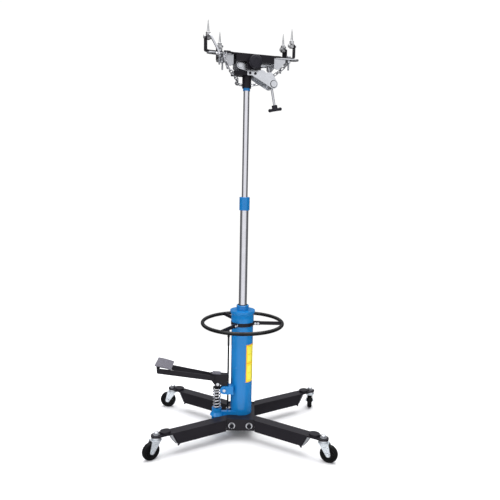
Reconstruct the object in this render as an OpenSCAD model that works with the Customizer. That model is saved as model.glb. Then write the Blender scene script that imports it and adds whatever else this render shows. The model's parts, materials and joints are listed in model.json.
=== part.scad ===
// Two-stage hydraulic transmission jack on four casters, with a tilting saddle and four adjustable arms.
// Origin on the floor under the ram, +Z up, front towards -Y, foot pump on the -X side.

/* [Stand] */
// Sideways distance from the column to each caster stem
stem_x = 343; // [320:1:360]
// Fore-and-aft distance from the column to each caster stem
stem_y = 251; // [235:1:265]
// Height of the top of the legs above the floor
leg_top = 100; // [98:1:104]
// Height of a leg channel
leg_h = 52; // [44:1:54]
// Width of a leg channel
leg_w = 46; // [42:1:48]
// Thickness of the leg plate
leg_wall = 4; // [3:0.5:5]
// Half width of the base casting
block_x = 62; // [60:1:64]
// Half depth of the base casting
block_y = 88; // [84:1:92]
// Height of the top of the base casting
block_top = 96; // [94:1:97]

/* [Casters] */
// Radius of a caster wheel
wheel_r = 37.5; // [36:0.5:37.5]
// Width of a caster wheel
wheel_w = 24; // [20:1:24]
// Offset of the wheel axle behind the stem
trail = 25; // [22:1:28]

/* [Column] */
// Outside radius of the reservoir tube
tank_r = 48; // [46:0.5:48]
// Height of the top of the reservoir tube
tank_top = 518; // [510:1:524]
// Height of the top flange of the cylinder head
head_top = 569; // [565:1:575]
// Radius of the first ram
ram1_r = 18; // [17.5:0.5:18.5]
// Height of the shoulder at the top of the first ram
ram1_top = 1010; // [1000:1:1010]
// Length of the collar on top of the first ram
collar_h = 57; // [50:1:60]
// Radius of the second ram
ram2_r = 12.75; // [12.5:0.25:13]
// Height of the stop ring on the second ram
stop_z = 1510; // [1508:1:1514]

/* [Foot pump] */
// Place of the pump plunger, left of the column
pump_x = -108; // [-112:1:-106]
// Place of the pump plunger, in front of the column
pump_y = -35; // [-37:1:-33]
// Height of the pump body under the spring
pump_top = 127; // [124:1:130]
// Height of the retaining head above the spring
plunger_top = 220; // [219:1:221]
// Turns of the return spring
spring_turns = 7; // [5:1:9]
// Height of the fulcrum pin
fulcrum_z = 214; // [212:1:216]
// Length of the pedal arms
pedal_reach = 250; // [230:1:255]

/* [Handle ring] */
// Radius of the ring to the middle of its tube
ring_r = 177; // [160:1:185]
// Radius of the ring tube
ring_tube_r = 8; // [7:0.5:8]
// Height of the ring
ring_z = 510; // [508:1:512]

/* [Head] */
// Angle of the head about the column at rest
head_yaw = 19; // [0:1:45]
// Height of the side tilt pivot
pivot_z = 1606; // [1605:1:1607]
// Distance of the side tilt pivot left of the column
pivot_u = -40; // [-41:1:-39]
// Height of the tilt screw swivel
swivel_z = 1626; // [1625:1:1627]
// Distance of the tilt screw swivel right of the column
swivel_u = 93; // [92:1:94]
// Angle of the tilt screw from upright
screw_angle = 11.5; // [10:0.5:12]
// Height of the fore-and-aft tilt axis
tilt_z = 1636; // [1635:1:1637]
// Height of the top of the saddle
saddle_top = 1652; // [1652:1:1654]

/* [Arms] */
// Width of an arm
arm_w = 36; // [32:1:38]
// Length of an arm from its pivot to the centre of its round end
arm_l = 78; // [74:1:80]
// Height of a finger above the arm
finger_h = 50; // [40:1:55]
// Length of a finger's cone
cone_h = 48; // [30:1:50]

/* [Hidden] */
$fn = 48;

blue = [0.12, 0.42, 0.80];
black = [0.13, 0.13, 0.15];
zinc = [0.80, 0.82, 0.84];
chrome = [0.86, 0.86, 0.90];
pad_grey = [0.55, 0.53, 0.57];
yellow = [0.95, 0.85, 0.20];

fit = 0.05;      // radial clearance of a running fit
gap = 0.3;       // clearance between faces that move past each other

// Corners as [side in x, side in y]
front_left = [-1, -1];
front_right = [1, -1];
rear_left = [-1, 1];
rear_right = [1, 1];
corners = [front_left, front_right, rear_left, rear_right];

// Legs run from the casting's side to the stems
hub_y = 79;
leg_dx = stem_x - block_x;
leg_dy = stem_y - hub_y;
leg_len = sqrt(leg_dx * leg_dx + leg_dy * leg_dy);
leg_angle = atan2(leg_dy, leg_dx);
leg_bottom = leg_top - leg_h;
cut_top = 62;        // from the stem to the leg's end, at its top
cut_bottom = 88;     // the same at its bottom
cap_out = 9;         // how far the end cap stands out of the leg
tongue_h = 6;
stud_r = 6;
web_t = 8;
web_bolt_x = 38;
web_bolt_z = 71;

// Caster heights, from the tongue down to the axle
race_top = leg_top - tongue_h - 4.5;
crown_top = race_top - 6.5;
crown_t = 4;
fork_t = 2.5;
fork_in = wheel_w / 2 + 1.5;
axle_r = 4;
// Direction in which each wheel trails its stem: fl, fr, rl, rr
caster_angle = [218, -24, 176, 84];

// Column, from the casting up
tank_wall = 5;
press_r = 28;
press_in = 23;
press_top = head_top - 9;
gland_r = 27;
gland_top = head_top + 23;
ram1_bottom = 535;
ram1_bore = 15;
collar_r = 22.25;
collar_top = ram1_top + collar_h;
collar_thread = 20;
ram2_bottom = ram1_top - 2;
ram2_end = 1556;
stop_h = 11;

// Foot pump
fulcrum_x = -75;
clevis_x = -104;
clevis_z = plunger_top + 20;
lug_r = 18;
lug_y = 14;          // half the gap between the two lugs
lug_t = 6;
bracket_pad_x0 = -56;
bracket_pad_x1 = -34;
ear_t = 5;
pin_r = 7;
plunger_r = 9;
spring_wire = 2.4;
spring_coil_r = 16.4;
pedal_slope = 8.6;
pedal_spread = 5.2;
bar_h = 23;
rod_x = -60;
rod_y = -8;

// Handle ring
band_h = 16;
band_t = 3;
spoke_bolts = [58, 70];
spoke_half = 7.8;
spoke_angles = [0, 120, 240];
spoke_t = 5;

// Head
socket_r = 19;
socket_bottom = stop_z + stop_h + gap;
socket_top = 1574;
block_u0 = -62;
block_u1 = 34;
block_v = 27;
block_z0 = 1570;
block_z1 = 1585;
cheek_t = 4;
cheek_v = block_v;
frame_v = 24;
frame_t = 4;
pivot_r = 6;
nut_drop = 85;       // from the swivel down the screw to the trunnion nut
nut_shift = -0.5;    // centres the screw in the nut over the tilt range
nut_u = swivel_u + nut_drop * sin(screw_angle) + nut_shift;
nut_z = swivel_z - nut_drop * cos(screw_angle);
trunnion_r = 13;
screw_r = 5;
screw_len = 178;     // from the swivel down to the handle

// Saddle
plate_t = 5;
plate_v = 50;
beam_u0 = -62;
beam_u1 = 102;
beam_h = 32;
flange_t = 5;
arm_pivot_u = [-88, 120];
arm_pivot_v = 30;
lobe_r = 24;
tab_u = 74;
knob_u = 14;
knob_z = 1619;
knob_r = 27;
tilt_pin_r = 4;
arm_bolt_r = 5;
sink = 4;            // depth of a countersink

// Arms: [pivot, direction, bolt distance, finger reach]
arm_top = saddle_top - plate_t - 0.5;
arm_t = 5;
slot_r = 4.6;
arm_dir = [186, -6, 88, 19];
bolt_at = [42, 52, 42, 52];
reach = [57, 20, 57, 20];
slot_from = 36;
slot_to = 70;

function pivot_of(c) = [c[0] < 0 ? arm_pivot_u[0] : arm_pivot_u[1], c[1] * arm_pivot_v];
function index_of(c) = (c[0] < 0 ? 0 : 1) + (c[1] < 0 ? 0 : 2);
function bracket_top(x) = 284 - (x + 60) / 19;
function unit(v) = v / norm(v);
function circle_point(c, r, a) = c + r * [cos(a), sin(a)];

// ---- shared shapes ----------------------------------------------------------------------------

// Outline of a bar with round ends of two radii, joined by their outer tangents
module bar2d(p, q, rp, rq) {
    d = norm(q - p);
    along = atan2(q[1] - p[1], q[0] - p[0]);
    lean = acos((rp - rq) / d);
    translate(p) circle(r = rp);
    translate(q) circle(r = rq);
    polygon([
        circle_point(p, rp, along + lean), circle_point(p, rp, along - lean),
        circle_point(q, rq, along - lean), circle_point(q, rq, along + lean)
    ]);
}

// A plate drawn in X and Z, from y0 to y1
module upright(y0, y1) {
    translate([0, y1, 0]) rotate([90, 0, 0]) linear_extrude(height = y1 - y0) children();
}

// A cylinder along Y, from y0 to y1
module y_cylinder(x, z, r, y0, y1) {
    translate([x, y1, z]) rotate([90, 0, 0]) cylinder(r = r, h = y1 - y0);
}

module tube(r, bore, z0, z1) {
    translate([0, 0, z0]) difference() {
        cylinder(r = r, h = z1 - z0);
        translate([0, 0, -1]) cylinder(r = bore, h = z1 - z0 + 2);
    }
}

module hex(across, h) {
    cylinder(r = across / sqrt(3), h = h, $fn = 6);
}

module box(x0, x1, y0, y1, z0, z1) {
    translate([x0, y0, z0]) cube([x1 - x0, y1 - y0, z1 - z0]);
}

// A round rod of radius r swept along a list of points
module sweep(path, r, sides) {
    last = len(path) - 1;
    points = [for (i = [0:last])
        let (
            t = unit(path[min(i + 1, last)] - path[max(i - 1, 0)]),
            side = unit(cross(t, [0, 0, 1])),
            up = cross(side, t)
        )
        for (k = [0:sides - 1]) path[i] + r * (cos(360 * k / sides) * side + sin(360 * k / sides) * up)
    ];
    walls = [for (i = [0:last - 1], k = [0:sides - 1])
        [i * sides + k, i * sides + (k + 1) % sides, (i + 1) * sides + (k + 1) % sides, (i + 1) * sides + k]
    ];
    start = [for (k = [0:sides - 1]) sides - 1 - k];
    end = [for (k = [0:sides - 1]) last * sides + k];
    polyhedron(points = points, faces = concat(walls, [start, end]), convexity = 6);
}

// ---- frames of reference ----------------------------------------------------------------------

// Puts a part at a caster stem, local +X pointing outwards along the leg
module at_stem(c) {
    translate([c[0] * stem_x, c[1] * stem_y, 0])
        rotate([0, 0, atan2(c[1] * leg_dy, c[0] * leg_dx)]) children();
}

// Puts a part at a caster stem, local +X pointing to the trailing wheel
module at_caster(c) {
    translate([c[0] * stem_x, c[1] * stem_y, 0]) rotate([0, 0, caster_angle[index_of(c)]]) children();
}

// The head's own frame: X along the saddle (u), Y across it (v)
module in_head() {
    rotate([0, 0, head_yaw]) children();
}

// Puts a part at an arm's pivot, local +X along the arm
module at_arm(c) {
    p = pivot_of(c);
    in_head() translate([p[0], p[1], 0]) rotate([0, 0, arm_dir[index_of(c)]]) children();
}

// Local Z runs down the tilt screw from its swivel
module along_screw() {
    in_head() translate([swivel_u, 0, swivel_z]) rotate([0, 180 - screw_angle, 0]) children();
}

// ---- stand ------------------------------------------------------------------------------------

module base_block() {
    color(black) difference() {
        box(-block_x, block_x, -block_y, block_y, leg_bottom + 4, block_top);
        for (c = corners)
            y_cylinder(c[0] * web_bolt_x, web_bolt_z, stud_r + 0.1,
                c[1] < 0 ? -block_y - 1 : block_y - 22, c[1] < 0 ? 22 - block_y : block_y + 1);
    }
}

module leg_side() {
    polygon([
        [-leg_len - 40, leg_bottom], [-cut_bottom, leg_bottom], [-cut_top, leg_top], [-leg_len - 40, leg_top]
    ]);
}

module leg(c) {
    lean = (cut_bottom - cut_top) / leg_h;
    difference() {
        at_stem(c) difference() {
            upright(-leg_w / 2, leg_w / 2) leg_side();
            box(-leg_len - 41, -leg_wall, leg_wall - leg_w / 2, leg_w / 2 - leg_wall,
                leg_bottom - 1, leg_top - leg_wall);
        }
        box(-block_x, block_x, -1.5 * block_y, 1.5 * block_y, leg_bottom - 1, leg_top + 1);
    }
    at_stem(c) {
        // slanting end cap
        upright(leg_wall - leg_w / 2, leg_w / 2 - leg_wall) polygon([
            [cap_out - cut_top, leg_top - tongue_h + 1], [-cut_top - 5, leg_top - 1],
            [-cut_bottom - 5, leg_bottom], [cap_out - cut_bottom, leg_bottom + 3]
        ]);
        // pointed lower corner of each side
        for (s = [-1, 1])
            upright(s < 0 ? -leg_w / 2 : leg_w / 2 - leg_wall, s < 0 ? leg_wall - leg_w / 2 : leg_w / 2) polygon([
                [-cut_bottom + 2 * lean, leg_bottom + 4], [-cut_bottom - 10, leg_bottom + 4],
                [-cut_bottom - 10, leg_bottom], [-cut_bottom - 3, leg_bottom - 7], [-cut_bottom + 1, leg_bottom - 7]
            ]);
        // tongue for the caster stud
        translate([0, 0, leg_top - tongue_h]) linear_extrude(height = tongue_h) difference() {
            union() {
                circle(r = 22);
                translate([-cut_top - 14, -22]) square([cut_top + 14, 44]);
            }
            circle(r = stud_r + fit);
        }
        // raised stiffener between the nut and the leg
        translate([0, 0, leg_top - 1]) linear_extrude(height = 10)
            bar2d([-cut_top + 18, 0], [-37, 0], 19.5, 19.4);
    }
}

module legs() {
    color(black) for (c = corners) leg(c);
}

module web_plates() {
    color(black) for (s = [-1, 1]) difference() {
        box(-block_x, block_x, s < 0 ? -block_y - web_t : block_y, s < 0 ? -block_y : block_y + web_t,
            leg_bottom, leg_top);
        for (x = [-web_bolt_x, web_bolt_x])
            y_cylinder(x, web_bolt_z, stud_r + 0.1, s * (block_y + web_t / 2) - web_t, s * (block_y + web_t / 2) + web_t);
    }
}

// Washer, hex head and shank, pointing along +Z from the face that it clamps
module hex_bolt(washer_r, washer_t, across, head_h, r, shank) {
    cylinder(r = washer_r, h = washer_t);
    translate([0, 0, washer_t]) hex(across, head_h);
    translate([0, 0, -shank]) cylinder(r = r, h = shank + 1);
}

module frame_bolts() {
    color(zinc) {
        for (c = corners)
            translate([c[0] * web_bolt_x, c[1] * (block_y + web_t), web_bolt_z])
                rotate([-90 * c[1], 0, 0]) hex_bolt(14.5, 2.5, 19, 8, stud_r, web_t + 20);
        for (a = spoke_angles, d = spoke_bolts) rotate([0, 0, a])
            y_cylinder(d, ring_z, 3, -13, 13);
        for (a = spoke_angles, d = spoke_bolts, s = [-1, 1]) rotate([0, 0, a])
            translate([d, s * (spoke_t / 2 + 4), ring_z]) rotate([-90 * s, 0, 0]) hex(10, 4.5);
    }
}

module caster_studs() {
    color(zinc) for (c = corners) at_stem(c) {
        translate([0, 0, leg_top]) cylinder(r = 13, h = 2.5);
        translate([0, 0, leg_top + 2.5]) hex(19, 9);
        translate([0, 0, leg_top + 11]) cylinder(r1 = 8.5, r2 = 4, h = 5);
        translate([0, 0, 74.2]) cylinder(r = stud_r, h = leg_top - 74.2 + 3);
        translate([0, 0, 74.2]) cylinder(r = 9, h = 2.8);
        translate([0, 0, race_top]) cylinder(r = 20, h = leg_top - tongue_h - race_top);
    }
}

// ---- casters ----------------------------------------------------------------------------------

module fork(c) {
    plate_x0 = -19;
    plate_x1 = 25;
    color(zinc) at_caster(c) {
        difference() {
            union() {
                translate([0, 0, crown_top - crown_t]) cylinder(r = 21, h = crown_t);
                box(plate_x0, plate_x1, -fork_in - fork_t, fork_in + fork_t, crown_top - crown_t, crown_top);
                translate([0, 0, crown_top]) cylinder(r = 18.5, h = race_top - crown_top - gap);
            }
            translate([0, 0, crown_top - crown_t - 1]) cylinder(r = stud_r + fit, h = 20);
        }
        for (s = [-1, 1]) difference() {
            upright(s < 0 ? -fork_in - fork_t : fork_in, s < 0 ? -fork_in : fork_in + fork_t) union() {
                translate([trail, wheel_r]) circle(r = 10);
                polygon([
                    [plate_x0, crown_top], [plate_x1, crown_top],
                    [trail + 9.9, wheel_r + 1], [trail - 9.4, wheel_r - 3]
                ]);
            }
            y_cylinder(trail, wheel_r, axle_r, -40, 40);
        }
        y_cylinder(trail, wheel_r, axle_r, -fork_in - fork_t - 3, fork_in + fork_t + 3);
        for (s = [-1, 1]) translate([trail, s * (fork_in + fork_t), wheel_r])
            rotate([-90 * s, 0, 0]) hex(12, 4.5);
    }
}

module wheel(c) {
    half = wheel_w / 2;
    color(black) at_caster(c) translate([trail, 0, wheel_r]) rotate([90, 0, 0]) difference() {
        rotate_extrude() polygon([
            [axle_r + fit, -half - 1], [10, -half - 1], [12, 5 - half], [24, 5 - half], [27, 1 - half],
            [wheel_r - 4, 1 - half], [wheel_r - 1, 4 - half], [wheel_r, 7 - half],
            [wheel_r, half - 7], [wheel_r - 1, half - 4], [wheel_r - 4, half - 1],
            [27, half - 1], [24, half - 5], [12, half - 5], [10, half + 1], [axle_r + fit, half + 1]
        ]);
        for (k = [0:5]) rotate([0, 0, 60 * k]) translate([18, 0, -half]) cylinder(r = 3.6, h = wheel_w);
    }
}

// ---- hydraulic column -------------------------------------------------------------------------

module reservoir_tube() {
    color(blue) tube(tank_r, tank_r - tank_wall, block_top, tank_top);
}

module pressure_tube() {
    color(chrome) tube(press_r, press_in, block_top, press_top);
}

module cylinder_head() {
    color(blue) rotate_extrude() polygon([
        [press_r + fit, tank_top], [tank_r + 2, tank_top], [tank_r + 2, head_top - 18],
        [tank_r + 7, head_top - 9], [tank_r + 7, head_top], [gland_r - 3 + fit, head_top],
        [gland_r - 3 + fit, press_top + fit], [press_r + fit, press_top + fit]
    ]);
}

module gland_nut() {
    color(blue) rotate_extrude() polygon([
        [ram1_r + fit, press_top + 1], [gland_r - 3, press_top + 1], [gland_r - 3, head_top],
        [gland_r, head_top], [gland_r, gland_top - 2], [gland_r - 2, gland_top],
        [ram1_r + 3.5, gland_top], [ram1_r + 3.5, gland_top - 5], [ram1_r + fit, gland_top - 5]
    ]);
}

module rod_wiper() {
    color(black) tube(ram1_r + 3.4, ram1_r + fit, gland_top - 5, gland_top + 1.5);
}

module ram1_tube() {
    color(chrome) difference() {
        translate([0, 0, ram1_bottom]) cylinder(r = ram1_r, h = ram1_top + collar_thread - ram1_bottom);
        translate([0, 0, ram1_bottom + 10]) cylinder(r = ram1_bore, h = ram1_top);
    }
}

module ram1_piston() {
    color(zinc) tube(press_in - fit, ram1_r, ram1_bottom + 2, press_top - 3);
}

module ram1_collar() {
    color(blue) rotate_extrude() polygon([
        [ram1_r + fit, ram1_top], [collar_r - 1.5, ram1_top], [collar_r, ram1_top + 1.5],
        [collar_r, collar_top - 1.5], [collar_r - 1.5, collar_top], [ram2_r + fit, collar_top],
        [ram2_r + fit, ram1_top + collar_thread], [ram1_r + fit, ram1_top + collar_thread]
    ]);
}

module ram2_rod() {
    color(chrome) translate([0, 0, ram2_bottom]) cylinder(r = ram2_r, h = ram2_end - ram2_bottom);
}

module ram2_piston() {
    color(zinc) tube(ram1_bore - fit, ram2_r, ram2_bottom + 2, ram1_top + collar_thread - 3);
}

module stop_ring() {
    color(blue) tube(15, ram2_r, stop_z, stop_z + stop_h);
}

// ---- foot pump --------------------------------------------------------------------------------

module pump_body() {
    color(blue) difference() {
        union() {
            box(pump_x - 22, -block_x, pump_y - 14, pump_y + 20, leg_bottom + 12, block_top);
            translate([pump_x, pump_y, block_top - 1]) cylinder(r1 = 30, r2 = 22, h = 15);
            translate([pump_x, pump_y, block_top]) cylinder(r = 22, h = pump_top - block_top);
            box(pump_x, -20, pump_y - 8, pump_y + 8, block_top, block_top + 15);
        }
        translate([pump_x, pump_y, leg_bottom + 18]) cylinder(r = plunger_r + fit, h = 100);
        translate([0, 0, block_top - 40]) cylinder(r = tank_r, h = 100);
    }
}

module release_valve() {
    color(zinc) difference() {
        translate([rod_x + 3, rod_y + 2, block_top]) cylinder(r = 10, h = 18);
        translate([rod_x, rod_y, block_top + 4]) cylinder(r = 4 + fit, h = 20);
        cylinder(r = tank_r, h = 200);
    }
}

module release_rod() {
    color(black) {
        translate([rod_x, rod_y, block_top + 4 + gap]) cylinder(r = 4, h = 380);
        y_cylinder(rod_x, 451, 2.5, rod_y - 9, rod_y + 9);
        translate([rod_x, rod_y, 446]) cylinder(r = 5.5, h = 10);
    }
}

// Two lugs on a pad that is shaped to the side of the tank
module fulcrum_bracket() {
    color(blue) difference() {
        union() {
            for (s = [-1, 1])
                upright(pump_y + (s < 0 ? -lug_y - lug_t : lug_y), pump_y + (s < 0 ? -lug_y : lug_y + lug_t)) union() {
                    translate([fulcrum_x, fulcrum_z]) circle(r = lug_r);
                    translate([fulcrum_x, fulcrum_z - lug_r]) square([bracket_pad_x0 + 4 - fulcrum_x, 2 * lug_r]);
                }
            box(bracket_pad_x0, bracket_pad_x1, pump_y - lug_y - lug_t, pump_y + lug_y + lug_t,
                fulcrum_z - lug_r, fulcrum_z + lug_r);
        }
        y_cylinder(fulcrum_x, fulcrum_z, pin_r + fit, pump_y - 40, pump_y + 40);
        translate([0, 0, fulcrum_z - 60]) cylinder(r = tank_r, h = 120);
    }
}

module fulcrum_pin() {
    color(zinc) {
        y_cylinder(fulcrum_x, fulcrum_z, pin_r, pump_y - lug_y - lug_t - 3, pump_y + lug_y + lug_t + 3);
        y_cylinder(fulcrum_x, fulcrum_z, 10, pump_y - lug_y - lug_t - 3, pump_y - lug_y - lug_t);
    }
}

module pump_plunger() {
    color(zinc) translate([pump_x, pump_y, 0]) {
        translate([0, 0, 86]) cylinder(r = plunger_r, h = plunger_top - 86);
        translate([0, 0, plunger_top]) cylinder(r = 18, h = 3);
        translate([0, 0, plunger_top]) cylinder(r = 7.4, h = clevis_z - pin_r - 0.4 - plunger_top);
    }
}

module pump_spring() {
    steps = 20;
    z0 = pump_top + spring_wire + gap;
    z1 = plunger_top - spring_wire - gap;
    path = [for (i = [0:spring_turns * steps])
        [pump_x + spring_coil_r * cos(360 * i / steps), pump_y + spring_coil_r * sin(360 * i / steps),
            z0 + (z1 - z0) * i / (spring_turns * steps)]
    ];
    color(zinc) sweep(path, spring_wire, 8);
}

module pedal_lever() {
    bracket_x = -120;
    bracket_z = 268;
    color(black) difference() {
        union() {
            for (s = [-1, 1]) {
                // ear on the fulcrum, up to the clevis pin and the lever
                upright(pump_y + (s < 0 ? -ear_t - 8 : 8), pump_y + (s < 0 ? -8 : 8 + ear_t)) union() {
                    translate([fulcrum_x, fulcrum_z]) circle(r = 12);
                    polygon([[-87, fulcrum_z], [-63, fulcrum_z], [-61, 260], [-84, 260]]);
                    bar2d([clevis_x, clevis_z], [bracket_x - 2, bracket_z - 2], 13, 14);
                    polygon([[clevis_x, clevis_z], [-88, 237], [-61, 238], [-60, 284], [-136, 288], [-136, 262]]);
                }
                // bar out to the pad, spreading sideways
                translate([bracket_x, pump_y + s * 13, bracket_z]) rotate([0, 0, s * -pedal_spread])
                    rotate([0, pedal_slope, 0])
                        box(-pedal_reach, 0, s < 0 ? -ear_t : 0, s < 0 ? 0 : ear_t, -bar_h / 2, bar_h / 2);
            }
            // top plate of the bracket
            upright(pump_y - 13, pump_y + 13) polygon([[-136, 284], [-60, 280], [-60, 284], [-136, 288]]);
            // end plate and rib under the pad
            upright(pump_y - 39, pump_y + 39)
                polygon([[-370, 296], [-366, 296], [-366, 338], [-372, 338]]);
            upright(pump_y - 34, pump_y + 34)
                polygon([[-314, 302], [-310, 302], [-310, 328], [-314, 328]]);
        }
        pad_shape(30);
        y_cylinder(fulcrum_x, fulcrum_z, pin_r + fit, pump_y - 40, pump_y + 40);
        y_cylinder(clevis_x, clevis_z, pin_r, pump_y - 40, pump_y + 40);
    }
}

module clevis_pin() {
    color(zinc) {
        y_cylinder(clevis_x, clevis_z, pin_r, pump_y - 16, pump_y + 16);
        y_cylinder(clevis_x, clevis_z, 9.5, pump_y - 16, pump_y - 13);
    }
}

// The crowned pad, t thick above its curved underside
module pad_shape(t) {
    crown_r = 330;
    translate([-341, pump_y, 326]) rotate([0, 14, 0]) rotate([90, 0, 0])
        linear_extrude(height = 106, center = true) intersection() {
            translate([0, -crown_r]) difference() {
                circle(r = crown_r + t, $fn = 200);
                circle(r = crown_r, $fn = 200);
            }
            translate([-37, -10]) square([74, 40]);
        }
}

module pedal_pad() {
    color(pad_grey) {
        pad_shape(4);
        upright(pump_y - 15, pump_y + 15) polygon([
            [-128, bracket_top(-128)], [-92, bracket_top(-92)],
            [-92, bracket_top(-92) + 4], [-128, bracket_top(-128) + 4]
        ]);
    }
}

// ---- label, band and ring ---------------------------------------------------------------------

module label() {
    color(yellow) rotate([0, 0, -66]) translate([0, 0, 248])
        rotate_extrude(angle = 92) translate([tank_r, 0]) square([0.6, 172]);
}

module clamp_band() {
    color(black) {
        tube(tank_r + band_t, tank_r, ring_z - band_h / 2, ring_z + band_h / 2);
        for (a = spoke_angles, s = [-1, 1]) rotate([0, 0, a]) difference() {
            box(tank_r + 1, 78, s < 0 ? -spoke_t / 2 - 4 : spoke_t / 2, s < 0 ? -spoke_t / 2 : spoke_t / 2 + 4,
                ring_z - band_h / 2, ring_z + band_h / 2);
            cylinder(r = tank_r + 1, h = 1000);
            for (d = spoke_bolts) y_cylinder(d, ring_z, 3 + fit, -20, 20);
        }
    }
}

module ring_solid() {
    translate([0, 0, ring_z]) rotate_extrude($fn = 96) translate([ring_r, 0]) circle(r = ring_tube_r);
}

module ring_handle() {
    color(black) ring_solid();
}

module ring_spokes() {
    color(black) for (a = spoke_angles) difference() {
        rotate([0, 0, a]) difference() {
            box(53, ring_r, -spoke_t / 2, spoke_t / 2, ring_z - spoke_half, ring_z + spoke_half);
            for (d = spoke_bolts) y_cylinder(d, ring_z, 3 + fit, -20, 20);
        }
        ring_solid();
    }
}

// ---- head -------------------------------------------------------------------------------------

module head_socket() {
    color(black) in_head() difference() {
        union() {
            translate([0, 0, socket_bottom]) cylinder(r = socket_r, h = socket_top - socket_bottom);
            box(block_u0, block_u1, -block_v, block_v, block_z0, block_z1);
        }
        translate([0, 0, socket_bottom - 1]) cylinder(r = ram2_r + fit, h = ram2_end + 2 - socket_bottom + 1);
        translate([0, 0, 1546]) rotate([90, 0, -14]) cylinder(r = 4 + fit, h = 30);
        for (u = [4, 27]) y_cylinder(u, 1579, 3 + fit, -40, 40);
    }
}

// Outline of a cheek: a strip from the pivot that widens into a triangle down to the trunnion
module cheek2d() {
    a = [18, block_z0 + 5];
    b = [96, 1579];
    n = [nut_u, nut_z];
    bar2d([pivot_u, pivot_z], [62, 1583], 13, 11);
    bar2d(a, n, 6, 19);
    bar2d(b, n, 9, 19);
    bar2d(a, b, 6, 9);
    polygon([a, b, n]);
    polygon([[-8, block_z0], [62, 1572], [62, 1592], [-8, 1602]]);
}

module cheek_plates() {
    color(zinc) in_head() for (s = [-1, 1]) difference() {
        upright(s < 0 ? -cheek_v - cheek_t : cheek_v, s < 0 ? -cheek_v : cheek_v + cheek_t) cheek2d();
        y_cylinder(pivot_u, pivot_z, pivot_r + fit, -60, 60);
        y_cylinder(nut_u, nut_z, trunnion_r + fit, -60, 60);
        for (u = [4, 27]) y_cylinder(u, 1579, 3 + fit, -60, 60);
    }
}

module head_bolts() {
    v1 = cheek_v + cheek_t;
    color(black) in_head() {
        for (u = [4, 27], s = [-1, 1]) {
            y_cylinder(u, 1579, 3, s < 0 ? -v1 : block_v - 8, s < 0 ? 8 - block_v : v1);
            y_cylinder(u, 1579, 5, s < 0 ? -v1 - 3 : v1, s < 0 ? -v1 : v1 + 3);
        }
        translate([0, 0, 1546]) rotate([90, 0, -14]) translate([0, 0, ram2_r + 0.5])
            cylinder(r = 4, h = socket_r + 2 - ram2_r);
    }
}

module trunnion_nut() {
    color(zinc) in_head() difference() {
        union() {
            y_cylinder(nut_u, nut_z, 15, -cheek_v + gap, cheek_v - gap);
            y_cylinder(nut_u, nut_z, trunnion_r, -cheek_v - cheek_t - 3, cheek_v + cheek_t + 3);
        }
        translate([nut_u, 0, nut_z]) rotate([0, 180 - screw_angle, 0])
            cylinder(r = screw_r + 0.9, h = 60, center = true);
    }
}

// ---- tilting frame ----------------------------------------------------------------------------

module side_frame() {
    u0 = -54;
    u1 = 66;
    color(zinc) in_head() difference() {
        union() {
            for (s = [-1, 1])
                upright(s < 0 ? -frame_v : frame_v - frame_t, s < 0 ? frame_t - frame_v : frame_v) union() {
                    bar2d([pivot_u, pivot_z], [swivel_u, swivel_z], 13, 10);
                    translate([u0, pivot_z - 6]) square([20, 32]);
                }
            for (u = [u0, u1]) {
                box(u, u + frame_t, frame_t - frame_v, frame_v - frame_t, u < 0 ? pivot_z - 6 : 1611, tilt_z - 4);
                translate([u, 0, tilt_z]) rotate([0, 90, 0]) cylinder(r = 9, h = frame_t);
            }
        }
        y_cylinder(pivot_u, pivot_z, pivot_r, -60, 60);
        y_cylinder(swivel_u, swivel_z, screw_r + fit, -60, 60);
        translate([-80, 0, tilt_z]) rotate([0, 90, 0]) cylinder(r = tilt_pin_r, h = 200);
    }
}

module frame_pins() {
    v1 = cheek_v + cheek_t + gap;
    color(zinc) in_head() {
        y_cylinder(pivot_u, pivot_z, pivot_r, -v1, v1);
        for (s = [-1, 1]) y_cylinder(pivot_u, pivot_z, 9, s < 0 ? -v1 - 3 : v1, s < 0 ? -v1 : v1 + 3);
        translate([-66, 0, tilt_z]) rotate([0, 90, 0]) cylinder(r = tilt_pin_r, h = 18);
        translate([64, 0, tilt_z]) rotate([0, 90, 0]) cylinder(r = tilt_pin_r, h = 17);
    }
}

module swivel_block() {
    color(zinc) in_head() difference() {
        union() {
            y_cylinder(swivel_u, swivel_z, 9, frame_t - frame_v + gap, frame_v - frame_t - gap);
            y_cylinder(swivel_u, swivel_z, screw_r, -frame_v - 2, frame_v + 2);
        }
        translate([swivel_u, 0, swivel_z]) rotate([0, 180 - screw_angle, 0])
            cylinder(r = screw_r + fit, h = 60, center = true);
    }
}

module tilt_screw() {
    color(zinc) along_screw() {
        translate([0, 0, -12.6]) cylinder(r = screw_r, h = screw_len + 12.6);
        translate([0, 0, -12.6]) cylinder(r = 7, h = 3.2);
        translate([0, 0, 9.4]) cylinder(r = 7, h = 3.2);
    }
}

module tilt_handle() {
    color(black) along_screw() difference() {
        union() {
            translate([0, 0, screw_len - 8]) cylinder(r = 12, h = 24);
            translate([0, 0, screw_len + 11]) rotate([0, 90, 0]) cylinder(r = 6.5, h = 48, center = true);
            for (s = [-1, 1]) translate([s * 24, 0, screw_len + 11]) sphere(r = 7.4);
        }
        translate([0, 0, screw_len - 9]) cylinder(r = screw_r, h = 9);
    }
}

// ---- saddle -----------------------------------------------------------------------------------

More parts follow.
